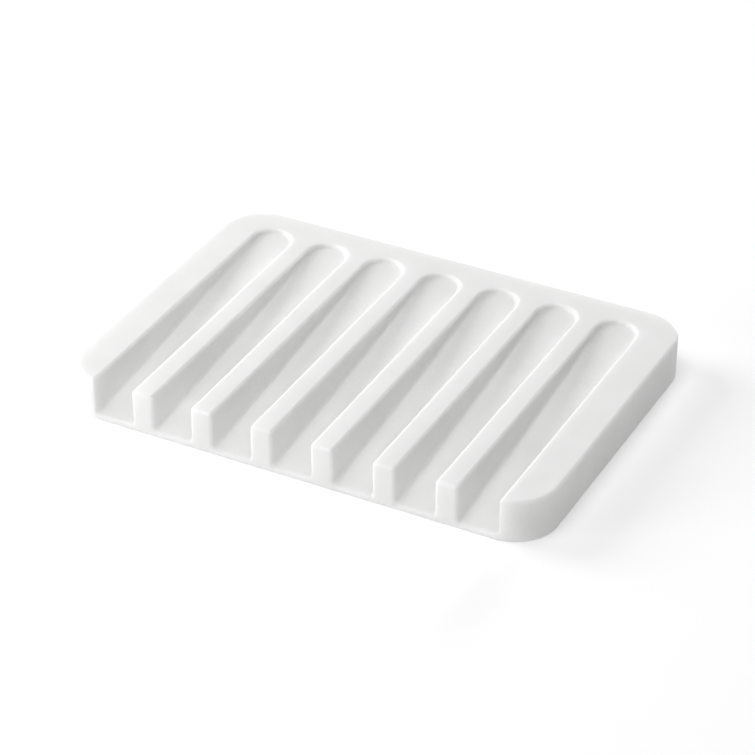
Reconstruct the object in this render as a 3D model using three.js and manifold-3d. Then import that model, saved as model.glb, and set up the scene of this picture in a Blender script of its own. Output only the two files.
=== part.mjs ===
// A draining soap tray, moulded in one piece of soft silicone.
//
// The tray lies flat on its underside. Parallel channels run from a closed rim at the back to the
// open front edge, with ribs between them that carry the soap. The channel floors slope down
// towards the front, so that water runs off over a thin lip.
//
// Millimetres, +Z up. The origin is the middle of the footprint, on the face the tray rests on.
// +X runs along the length, and +Y from the open front edge to the closed back rim.

import * as THREE from 'three';
import { mergeVertices } from 'three/addons/utils/BufferGeometryUtils.js';
import Module from 'manifold-3d';

const wasm = await Module();
wasm.setup();

// ---------------------------------------------------------------- driving sizes

// The whole tray
const LENGTH = 130; // end to end
const WIDTH = 93; // front edge to back edge
const HEIGHT = 11.5; // underside to rib tops
const CORNER_RADIUS = 11.5; // the four upright corners
const OUTER_EDGE_RADIUS = 0.9; // along the outer top edge

// Channels and the ribs between them
const CHANNEL_COUNT = 7;
const RIB_WIDTH = 6; // between two channels
const END_RIB_WIDTH = 10.25; // outside the first and the last channel
const BACK_RIM_WIDTH = 7.8; // behind the round channel ends
const BACK_DEPTH = 0.9; // of a channel, at its round back end
const LIP_THICKNESS = 1.5; // of the floor, at the front edge
const CREASE_RADIUS = 0.9; // where a channel's floor meets its walls
const RIB_EDGE_RADIUS = 0.9; // along the top edge of a channel

// How finely the round shapes are cut
const ARC_SEGMENTS = 8; // curveSegments of the outlines
const ROUNDING_STEPS = 3; // flats across a rounded edge
const OVERSHOOT = 4; // how far a cutter runs past the face it cuts through

// The silicone
const SILICONE = new THREE.MeshStandardMaterial({ color: 0xf1f1f0, roughness: 0.55, metalness: 0 });

// ---------------------------------------------------------------- sizes that follow

// The channels share the length that the ribs leave.
const RIB_TOTAL = (CHANNEL_COUNT - 1) * RIB_WIDTH + 2 * END_RIB_WIDTH;
const CHANNEL_WIDTH = (LENGTH - RIB_TOTAL) / CHANNEL_COUNT;
const CHANNEL_PITCH = CHANNEL_WIDTH + RIB_WIDTH;

// The channels end at the back rim, and their floors fall from there to the lip.
const FRONT_Y = -WIDTH / 2;
const CHANNEL_BACK_Y = WIDTH / 2 - BACK_RIM_WIDTH;
const FLOOR_RUN = CHANNEL_BACK_Y - FRONT_Y;
const FLOOR_DROP = HEIGHT - BACK_DEPTH - LIP_THICKNESS;
const FLOOR_ANGLE = Math.atan2(FLOOR_DROP, FLOOR_RUN);

// A rounding is never larger than the wall it runs along.
const CHANNEL_EDGE_RADIUS = Math.min(RIB_EDGE_RADIUS, BACK_DEPTH, RIB_WIDTH / 2);

// ---------------------------------------------------------------- solids

// Turns a closed geometry, placed by a matrix, into a solid that can be joined and cut.
function toSolid(geometry, matrix = new THREE.Matrix4()) {
  const placed = geometry.clone().applyMatrix4(matrix);
  placed.deleteAttribute('normal');
  placed.deleteAttribute('uv');
  const merged = mergeVertices(placed);
  const mesh = new wasm.Mesh({
    numProp: 3,
    vertProperties: new Float32Array(merged.attributes.position.array),
    triVerts: new Uint32Array(merged.index.array),
  });
  return new wasm.Manifold(mesh);
}

function toGeometry(solid) {
  const { vertProperties, triVerts } = solid.getMesh();
  const geometry = new THREE.BufferGeometry();
  geometry.setAttribute('position', new THREE.BufferAttribute(vertProperties, 3));
  geometry.setIndex(new THREE.BufferAttribute(triVerts, 1));
  geometry.computeVertexNormals();
  return geometry;
}

// ---------------------------------------------------------------- the block

function roundedRectangle(length, width, radius) {
  const x = length / 2 - radius;
  const y = width / 2 - radius;
  const shape = new THREE.Shape();
  shape.absarc(x, -y, radius, -Math.PI / 2, 0);
  shape.absarc(x, y, radius, 0, Math.PI / 2);
  shape.absarc(-x, y, radius, Math.PI / 2, Math.PI);
  shape.absarc(-x, -y, radius, Math.PI, 1.5 * Math.PI);
  return shape;
}

// The tray before its channels are cut: rounded along its top edge, and cut off flat below.
function makeBlock() {
  const extrusion = new THREE.ExtrudeGeometry(roundedRectangle(LENGTH, WIDTH, CORNER_RADIUS), {
    depth: HEIGHT,
    curveSegments: ARC_SEGMENTS,
    bevelSegments: ROUNDING_STEPS,
    bevelThickness: OUTER_EDGE_RADIUS,
    bevelSize: OUTER_EDGE_RADIUS,
    bevelOffset: -OUTER_EDGE_RADIUS,
  });
  const lowered = new THREE.Matrix4().makeTranslation(0, 0, -OUTER_EDGE_RADIUS);
  const aboveGround = new THREE.BoxGeometry(2 * LENGTH, 2 * WIDTH, HEIGHT + OVERSHOOT);
  const raised = new THREE.Matrix4().makeTranslation(0, 0, (HEIGHT + OVERSHOOT) / 2);
  return toSolid(extrusion, lowered).intersect(toSolid(aboveGround, raised));
}

// ---------------------------------------------------------------- the channels

// A channel from above: straight sides that start at frontY, and a round end that reaches backY.
function channelOutline(frontY, backY) {
  const radius = CHANNEL_WIDTH / 2;
  const shape = new THREE.Shape();
  shape.moveTo(-radius, frontY);
  shape.lineTo(radius, frontY);
  shape.absarc(0, backY - radius, radius, 0, Math.PI);
  return shape;
}

// The space inside a channel. It stands square on the sloping floor, and the bevel at its foot
// leaves the rounded crease between floor and walls.
function makeChannelSpace(centreX) {
  const slopeLength = FLOOR_RUN / Math.cos(FLOOR_ANGLE);
  const geometry = new THREE.ExtrudeGeometry(channelOutline(-slopeLength - OVERSHOOT, 0), {
    depth: HEIGHT,
    curveSegments: ARC_SEGMENTS,
    bevelSegments: ROUNDING_STEPS,
    bevelThickness: CREASE_RADIUS,
    bevelSize: CREASE_RADIUS,
    bevelOffset: -CREASE_RADIUS,
  });
  const onSlope = new THREE.Matrix4()
    .makeTranslation(centreX, CHANNEL_BACK_Y, HEIGHT - BACK_DEPTH)
    .multiply(new THREE.Matrix4().makeRotationX(FLOOR_ANGLE))
    .multiply(new THREE.Matrix4().makeTranslation(0, 0, CREASE_RADIUS));
  return toSolid(geometry, onSlope);
}

// What the rounding takes off a channel's top edge: a quarter circle in narrow flats. Each flat is
// the chamfer at the foot of a slab that grows wider towards the top.
function makeEdgeRounding(centreX) {
  const outline = channelOutline(FRONT_Y - OVERSHOOT, CHANNEL_BACK_Y);
  const radius = CHANNEL_EDGE_RADIUS;
  const step = Math.PI / 2 / ROUNDING_STEPS;
  const slabs = [];
  for (let i = 0; i < ROUNDING_STEPS; i += 1) {
    const offsetBelow = radius * (1 - Math.cos(i * step));
    const offsetAbove = radius * (1 - Math.cos((i + 1) * step));
    const dropBelow = radius * (1 - Math.sin(i * step));
    const dropAbove = radius * (1 - Math.sin((i + 1) * step));
    const slab = new THREE.ExtrudeGeometry(outline, {
      depth: OVERSHOOT,
      curveSegments: ARC_SEGMENTS,
      bevelSegments: 1,
      bevelThickness: dropBelow - dropAbove,
      bevelSize: offsetAbove - offsetBelow,
      bevelOffset: offsetBelow,
    });
    slabs.push(toSolid(slab, new THREE.Matrix4().makeTranslation(centreX, 0, HEIGHT - dropAbove)));
  }
  return slabs.reduce((joined, slab) => joined.add(slab));
}

function cutChannels(block) {
  let cut = block;
  for (let i = 0; i < CHANNEL_COUNT; i += 1) {
    const centreX = (i - (CHANNEL_COUNT - 1) / 2) * CHANNEL_PITCH;
    cut = cut.subtract(makeChannelSpace(centreX).add(makeEdgeRounding(centreX)));
  }
  return cut;
}

// ---------------------------------------------------------------- the model

const tray = new THREE.Mesh(toGeometry(cutChannels(makeBlock())), SILICONE);
tray.name = 'soap_tray';

const model = new THREE.Group();
model.add(tray);

export default model;
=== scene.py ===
"""A draining soap tray, moulded in one piece of soft white silicone.

The tray is one mesh. A block with rounded edges has seven channels cut out of it, and every edge
of every channel is rounded too: the crease at its foot, its top edge, the upright corners of its
mouth and the lip that the water runs off.

Shapes are worked out in millimetres, in the CAD frame: the origin is the middle of the footprint,
+X runs along the length, +Y from the open front to the closed back rim, and +Z is up.
"""

import math

import bmesh
import bpy
from mathutils import Matrix, Vector


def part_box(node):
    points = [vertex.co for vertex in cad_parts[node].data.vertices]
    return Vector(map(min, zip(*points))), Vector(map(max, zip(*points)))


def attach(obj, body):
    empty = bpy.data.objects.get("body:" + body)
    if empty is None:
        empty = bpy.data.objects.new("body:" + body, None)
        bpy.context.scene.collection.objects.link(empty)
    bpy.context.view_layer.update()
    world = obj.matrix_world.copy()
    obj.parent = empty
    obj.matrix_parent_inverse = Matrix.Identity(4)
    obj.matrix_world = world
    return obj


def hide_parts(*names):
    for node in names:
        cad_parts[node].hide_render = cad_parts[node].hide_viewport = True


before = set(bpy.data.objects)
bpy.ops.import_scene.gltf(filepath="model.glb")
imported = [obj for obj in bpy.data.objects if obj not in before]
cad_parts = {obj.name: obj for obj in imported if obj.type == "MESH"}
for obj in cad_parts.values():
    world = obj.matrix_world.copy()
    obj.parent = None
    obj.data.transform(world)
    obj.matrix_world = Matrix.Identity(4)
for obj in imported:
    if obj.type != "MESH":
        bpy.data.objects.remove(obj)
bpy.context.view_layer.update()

MM = 0.001  # one millimetre in metres

# ---------------------------------------------------------------- sizes, in millimetres

node_low, node_high = (Vector(corner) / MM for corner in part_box("soap_tray"))
LENGTH, WIDTH, HEIGHT = node_high - node_low
FRONT_Y = node_low.y
BACK_Y = node_high.y

CORNER_RADIUS = 11.5  # the four upright corners
OUTER_EDGE_RADIUS = 0.9  # along the outer top edge
BASE_EDGE_RADIUS = 0.3  # along the outer bottom edge

CHANNEL_COUNT = 7
RIB_WIDTH = 6  # between two channels
END_RIB_WIDTH = 10.25  # outside the first and the last channel
BACK_RIM_WIDTH = 7.8  # behind the round channel ends
BACK_DEPTH = 0.9  # of a channel, at its round back end
LIP_THICKNESS = 1.5  # of the floor, at the front edge
CREASE_RADIUS = 0.9  # where a channel's floor meets its walls
RIB_EDGE_RADIUS = 0.9  # along the top edge of a channel
# The upright corners of a channel's mouth. Larger than RIB_EDGE_RADIUS, because the rounded top edge
# that runs round them would fold over itself otherwise.
MOUTH_RADIUS = 1.0
LIP_RADIUS = 0.7  # along the front edge of a channel's floor

RIB_TOTAL = (CHANNEL_COUNT - 1) * RIB_WIDTH + 2 * END_RIB_WIDTH
CHANNEL_WIDTH = (LENGTH - RIB_TOTAL) / CHANNEL_COUNT
CHANNEL_PITCH = CHANNEL_WIDTH + RIB_WIDTH
CHANNEL_BACK_Y = BACK_Y - BACK_RIM_WIDTH
FLOOR_SLOPE = (HEIGHT - BACK_DEPTH - LIP_THICKNESS) / (CHANNEL_BACK_Y - FRONT_Y)

# How finely the round shapes are cut
CORNER_STEPS = 24  # a quarter turn of the tray's corners
CHANNEL_END_STEPS = 16  # a quarter turn of a channel's round end
WALL_STEPS = 24  # along a channel's straight wall
MOUTH_STEPS = 10  # round an upright corner of the mouth
EDGE_STEPS = 7  # across a rounded edge or crease


# ---------------------------------------------------------------- mesh helpers

def bridge(bm, ring_a, ring_b, closed):
    """Joins two rows of vertices, of the same length, with quads."""
    count = len(ring_a)
    for i in range(count if closed else count - 1):
        j = (i + 1) % count
        bm.faces.new((ring_a[i], ring_a[j], ring_b[j], ring_b[i]))


def quarter_arc(radius, steps):
    """Points of a quarter circle, as (how far in, how far down) from a square corner's two sides."""
    angles = [math.radians(90) * i / steps for i in range(steps + 1)]
    return [(radius * (1 - math.cos(a)), radius * (1 - math.sin(a))) for a in angles]


def mesh_object(name, bm):
    """Turns a bmesh into an object whose faces point outwards."""
    bmesh.ops.recalc_face_normals(bm, faces=bm.faces)
    mesh = bpy.data.meshes.new(name)
    bm.to_mesh(mesh)
    bm.free()
    piece = bpy.data.objects.new(name, mesh)
    bpy.context.scene.collection.objects.link(piece)
    return piece


# ---------------------------------------------------------------- the block

def tray_outline():
    """The tray from above, as points with their outward normals, counterclockwise."""
    x = LENGTH / 2 - CORNER_RADIUS
    y = WIDTH / 2 - CORNER_RADIUS
    stations = []
    for quarter, (cx, cy) in enumerate(((x, y), (-x, y), (-x, -y), (x, -y))):
        for i in range(CORNER_STEPS + 1):
            angle = math.radians(90) * (quarter + i / CORNER_STEPS)
            normal = Vector((math.cos(angle), math.sin(angle)))
            stations.append((Vector((cx, cy)) + CORNER_RADIUS * normal, normal))
    return stations


def block_profile():
    """The outer wall from the underside to the top, as (distance inwards, height)."""
    foot = [(inset, drop) for inset, drop in reversed(quarter_arc(BASE_EDGE_RADIUS, EDGE_STEPS))]
    head = [(inset, HEIGHT - drop) for inset, drop in quarter_arc(OUTER_EDGE_RADIUS, EDGE_STEPS)]
    return foot + head


def make_block():
    """The tray before its channels are cut, rounded along its top and bottom edges."""
    bm = bmesh.new()
    rings = []
    for inset, z in block_profile():
        ring = [bm.verts.new((*(point - inset * normal), z)) for point, normal in tray_outline()]
        rings.append(ring)
    for lower, upper in zip(rings, rings[1:]):
        bridge(bm, lower, upper, closed=True)
    bm.faces.new(reversed(rings[0]))
    bm.faces.new(rings[-1])
    return mesh_object("soap_tray_silicone", bm)


# ---------------------------------------------------------------- the channels

MOUTH_TURN = math.radians(75)  # how far a mouth corner turns before it runs straight out
MOUTH_RUN_OUT = 0.5  # how far in front of the tray a channel cutter reaches
HEADROOM = 2.0  # how far above the tray a channel cutter reaches


def floor_height(y):
    """Height of a channel's floor, with the rounded lip at its front edge."""
    plane = LIP_THICKNESS + (y - FRONT_Y) * FLOOR_SLOPE
    past_lip = min(max(FRONT_Y + LIP_RADIUS - y, 0), LIP_RADIUS)
    return plane - LIP_RADIUS + math.sqrt(LIP_RADIUS**2 - past_lip**2)


def channel_side():
    """One wall of a channel from above, from its mouth to the tip of its round end.

    Each station is a point and the direction from the channel into the wall.
    """
    half = CHANNEL_WIDTH / 2
    end_y = CHANNEL_BACK_Y - half
    mouth_centre = Vector((half + MOUTH_RADIUS, FRONT_Y + MOUTH_RADIUS))

    stations = []
    for i in range(MOUTH_STEPS, 0, -1):
        turn = MOUTH_TURN * i / MOUTH_STEPS
        normal = Vector((math.cos(turn), math.sin(turn)))
        stations.append((mouth_centre - MOUTH_RADIUS * normal, normal))
    last_point, last_normal = stations[0]
    run_out = Vector((last_normal.y, -last_normal.x))
    reach = (last_point.y - FRONT_Y + MOUTH_RUN_OUT) / -run_out.y
    stations.insert(0, (last_point + reach * run_out, last_normal))

    for i in range(WALL_STEPS):
        y = FRONT_Y + MOUTH_RADIUS + (end_y - FRONT_Y - MOUTH_RADIUS) * i / WALL_STEPS
        stations.append((Vector((half, y)), Vector((1, 0))))
    for i in range(CHANNEL_END_STEPS + 1):
        angle = math.radians(90) * i / CHANNEL_END_STEPS
        normal = Vector((math.cos(angle), math.sin(angle)))
        stations.append((Vector((0, end_y)) + half * normal, normal))
    return stations


def wall_profile(point, normal):
    """One upright section through a channel's wall, from the floor to above the tray.

    A hollow arc rises from the floor, a wall stands on it where the channel is deep enough, and a
    round edge leads over to the rib top. Where the channel is too shallow for both arcs in full,
    each stops at the same slope, so the wall becomes a soft step.
    """
    depth = HEIGHT - floor_height(point.y)
    drop_share = min(depth / (CREASE_RADIUS + RIB_EDGE_RADIUS), 1)
    steepest = math.acos(1 - drop_share)
    section = []
    for i in range(EDGE_STEPS + 1):
        slope = steepest * i / EDGE_STEPS
        offset = CREASE_RADIUS * (math.sin(slope) - math.sin(steepest))
        at = point + offset * normal
        section.append((*at, floor_height(at.y) + CREASE_RADIUS * (1 - math.cos(slope))))
    for i in range(EDGE_STEPS, -1, -1):
        slope = steepest * i / EDGE_STEPS
        offset = RIB_EDGE_RADIUS * (math.sin(steepest) - math.sin(slope))
        at = point + offset * normal
        section.append((*at, HEIGHT - RIB_EDGE_RADIUS * (1 - math.cos(slope))))
    top = section[-1]
    section.append((top[0], top[1], HEIGHT + HEADROOM))
    return section


def add_channel_cutter(bm, centre_x):
    """The space of one channel as a closed shape, the same on both sides of its middle."""
    sections = [wall_profile(point, normal) for point, normal in channel_side()]
    tip = [bm.verts.new((centre_x, y, z)) for _, y, z in sections[-1]]
    sides = {}
    for hand in (1, -1):
        sides[hand] = [[bm.verts.new((centre_x + hand * x, y, z)) for x, y, z in section]
                       for section in sections[:-1]]
        for column_a, column_b in zip(sides[hand], sides[hand][1:] + [tip]):
            bridge(bm, column_a, column_b, closed=False)
    bridge(bm, sides[1][0], sides[-1][0], closed=False)
    for level in (0, -1):
        right = [column[level] for column in sides[1]]
        left = [column[level] for column in sides[-1]]
        bridge(bm, right, left, closed=False)
        bm.faces.new((right[-1], tip[level], left[-1]))


def make_channel_cutters():
    bm = bmesh.new()
    for i in range(CHANNEL_COUNT):
        add_channel_cutter(bm, (i - (CHANNEL_COUNT - 1) / 2) * CHANNEL_PITCH)
    return mesh_object("channel_cutters", bm)


# ---------------------------------------------------------------- the tray

def apply_modifiers(piece):
    """Replaces a piece's mesh with what its modifiers make of it."""
    depsgraph = bpy.context.evaluated_depsgraph_get()
    piece.data = bpy.data.meshes.new_from_object(piece.evaluated_get(depsgraph))
    piece.modifiers.clear()


def make_tray():
    tray = make_block()
    cutters = make_channel_cutters()
    cut = tray.modifiers.new("cut_channels", "BOOLEAN")
    cut.operation = "DIFFERENCE"
    cut.solver = "MANIFOLD"
    cut.object = cutters
    apply_modifiers(tray)
    bpy.data.objects.remove(cutters)

    tray.data.transform(Matrix.Scale(MM, 4))
    tray.data.shade_smooth()
    even = tray.modifiers.new("even_shading", "WEIGHTED_NORMAL")
    even.mode = "FACE_AREA_WITH_ANGLE"
    even.weight = 100
    return tray


# ---------------------------------------------------------------- silicone

PALEST = (0.875, 0.875, 0.870, 1)
DARKEST = (0.850, 0.850, 0.844, 1)
CLOUD_SIZE = 14 * MM  # of the soft patches of colour
MOTTLE_SIZE = 1.0 * MM  # of the shallow dimples left by the mould
GRAIN_SIZE = 0.3 * MM  # of the fine matte grain on top of them
BUMP_HEIGHT = 0.13 * MM  # from the bottom to the top of a dimple
ROUGHNESS_RANGE = (0.52, 0.68)
RIB_TOP_BAND = 0.8 * MM  # below the rib tops, where the surface turns smoother
RIB_TOP_BUMP = 0.35  # how much of the bump is left on the rib tops
GRAIN_SHARE = 0.3  # height of the fine grain against that of the dimples
CLOUD_SPREAD = (0.35, 0.65)  # the noise values that give the darkest and the palest colour
ROUGHNESS_SPREAD = (0.3, 0.7)  # the noise values that give the smoothest and the roughest skin
SCATTER_DEPTH = 2.5 * MM


def add_noise(tree, coordinates, size, detail):
    """Noise between 0 and 1, with patches about as wide as the size given."""
    noise = tree.nodes.new("ShaderNodeTexNoise")
    noise.inputs["Scale"].default_value = 1 / size
    noise.inputs["Detail"].default_value = detail
    tree.links.new(coordinates, noise.inputs["Vector"])
    return noise.outputs["Fac"]


def add_range(tree, value, source, target):
    """Carries a value over from one range to another."""
    remap = tree.nodes.new("ShaderNodeMapRange")
    remap.inputs["From Min"].default_value, remap.inputs["From Max"].default_value = source
    remap.inputs["To Min"].default_value, remap.inputs["To Max"].default_value = target
    tree.links.new(value, remap.inputs["Value"])
    return remap.outputs["Result"]


def add_sum(tree, value_a, value_b):
    total = tree.nodes.new("ShaderNodeMath")
    total.operation = "ADD"
    tree.links.new(value_a, total.inputs[0])
    tree.links.new(value_b, total.inputs[1])
    return total.outputs["Value"]


def add_clouds(tree, coordinates):
    """Colour that drifts a little over the tray."""
    clouds = add_range(tree, add_noise(tree, coordinates, CLOUD_SIZE, 2), CLOUD_SPREAD, (0, 1))
    mix = tree.nodes.new("ShaderNodeMix")
    mix.data_type = "RGBA"
    mix.inputs["A"].default_value = DARKEST
    mix.inputs["B"].default_value = PALEST
    tree.links.new(clouds, mix.inputs["Factor"])
    return mix.outputs["Result"]


def add_moulded_skin(tree, coordinates):
    """Shallow dimples and fine grain as a bump, fainter on the rib tops than down in the channels."""
    mottle = add_noise(tree, coordinates, MOTTLE_SIZE, 2)
    fine = add_noise(tree, coordinates, GRAIN_SIZE, 1)
    grain = add_range(tree, fine, (0, 1), (0, GRAIN_SHARE))
    axes = tree.nodes.new("ShaderNodeSeparateXYZ")
    tree.links.new(coordinates, axes.inputs["Vector"])
    top = HEIGHT * MM
    strength = add_range(tree, axes.outputs["Z"], (top - RIB_TOP_BAND, top), (1, RIB_TOP_BUMP))
    bump = tree.nodes.new("ShaderNodeBump")
    bump.inputs["Distance"].default_value = BUMP_HEIGHT
    tree.links.new(strength, bump.inputs["Strength"])
    tree.links.new(add_sum(tree, mottle, grain), bump.inputs["Height"])
    return bump.outputs["Normal"]


def make_silicone():
    material = bpy.data.materials.new("silicone")
    material.use_nodes = True
    tree = material.node_tree
    shader = tree.nodes["Principled BSDF"]
    coordinates = tree.nodes.new("ShaderNodeTexCoord").outputs["Object"]
    unevenness = add_noise(tree, coordinates, MOTTLE_SIZE, 3)
    roughness = add_range(tree, unevenness, ROUGHNESS_SPREAD, ROUGHNESS_RANGE)
    tree.links.new(add_clouds(tree, coordinates), shader.inputs["Base Color"])
    tree.links.new(roughness, shader.inputs["Roughness"])
    tree.links.new(add_moulded_skin(tree, coordinates), shader.inputs["Normal"])
    shader.inputs["Subsurface Weight"].default_value = 1.0
    shader.inputs["Subsurface Radius"].default_value = (1.0, 1.0, 1.0)
    shader.inputs["Subsurface Scale"].default_value = SCATTER_DEPTH
    return material


# ---------------------------------------------------------------- floor, light and camera

FLOOR_HALF_SIZE = 3.0  # metres
FLOOR_COLOR = (0.9, 0.9, 0.9, 1)
FLOOR_ROUGHNESS = 0.9
FLOOR_GLOW = 0.2  # emission strength

# Name, azimuth and elevation in degrees, distance and diameter in metres, power in watts
STUDIO_LIGHTS = (
    ("overhead", 0, 85, 1.3, 0.9, 6.1),
    ("front", 0, 55, 1.3, 0.8, 3.2),
    ("front_left_low", 315, 10, 1.3, 0.5, 5.2),
    ("left", 270, 30, 0.6, 0.4, 2.1),
    ("right", 60, 55, 1.3, 0.8, 1.9),
    ("back_low", 180, 10, 1.3, 0.5, 9.1),
)


def make_floor():
    half = FLOOR_HALF_SIZE
    bm = bmesh.new()
    corners = [(-half, -half, 0), (half, -half, 0), (half, half, 0), (-half, half, 0)]
    bm.faces.new([bm.verts.new(corner) for corner in corners])
    floor = mesh_object("floor", bm)
    material = bpy.data.materials.new("white_floor")
    material.use_nodes = True
    shader = material.node_tree.nodes["Principled BSDF"]
    shader.inputs["Base Color"].default_value = FLOOR_COLOR
    shader.inputs["Roughness"].default_value = FLOOR_ROUGHNESS
    shader.inputs["Emission Color"].default_value = (1, 1, 1, 1)
    shader.inputs["Emission Strength"].default_value = FLOOR_GLOW
    floor.data.materials.append(material)


def direction_to(azimuth, elevation):
    """The way from the tray to a lamp or camera. Azimuth 0 is in front, 90 on the right."""
    a, e = math.radians(azimuth), math.radians(elevation)
    return Vector((math.sin(a) * math.cos(e), -math.cos(a) * math.cos(e), math.sin(e)))


def make_area_light(name, azimuth, elevation, distance, size, watts):
    light = bpy.data.lights.new(name, "AREA")
    light.shape = "DISK"
    light.size = size
    light.energy = watts
    lamp = bpy.data.objects.new(name, light)
    bpy.context.scene.collection.objects.link(lamp)
    direction = direction_to(azimuth, elevation)
    lamp.location = direction * distance
    lamp.rotation_euler = (-direction).to_track_quat("-Z", "Y").to_euler()


def make_dark_world():
    """The floor and the lamps give all the light."""
    world = bpy.data.worlds.new("studio")
    world.use_nodes = True
    world.node_tree.nodes["Background"].inputs["Strength"].default_value = 0
    bpy.context.scene.world = world


CAMERA_AZIMUTH = 27.119  # degrees round from the front, towards +X
CAMERA_ELEVATION = 32.972  # degrees
CAMERA_ROLL = 0.3015  # degrees
CAMERA_DISTANCE = 0.73586  # metres from its target
CAMERA_TARGET = Vector((-0.0019157, 0.0025491, 0))
LENS = 138.899  # millimetres
SENSOR = 36.0  # millimetres
NEAR_CLIP = 0.01  # metres


def make_camera():
    camera = bpy.data.cameras.new("camera")
    camera.lens = LENS
    camera.sensor_width = SENSOR
    camera.clip_start = NEAR_CLIP
    view = bpy.data.objects.new("camera", camera)
    bpy.context.scene.collection.objects.link(view)
    back = direction_to(CAMERA_AZIMUTH, CAMERA_ELEVATION)
    roll = Matrix.Rotation(math.radians(CAMERA_ROLL), 3, "Z")
    turn = back.to_track_quat("Z", "Y").to_matrix() @ roll
    view.matrix_world = Matrix.Translation(CAMERA_TARGET + CAMERA_DISTANCE * back) @ turn.to_4x4()
    bpy.context.scene.camera = view


# ---------------------------------------------------------------- the scene

make_camera()
make_floor()
make_dark_world()
for studio_light in STUDIO_LIGHTS:
    make_area_light(*studio_light)
bpy.context.scene.view_settings.view_transform = "Standard"

tray = make_tray()
tray.data.materials.clear()
tray.data.materials.append(make_silicone())
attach(tray, "root")
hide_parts("soap_tray")
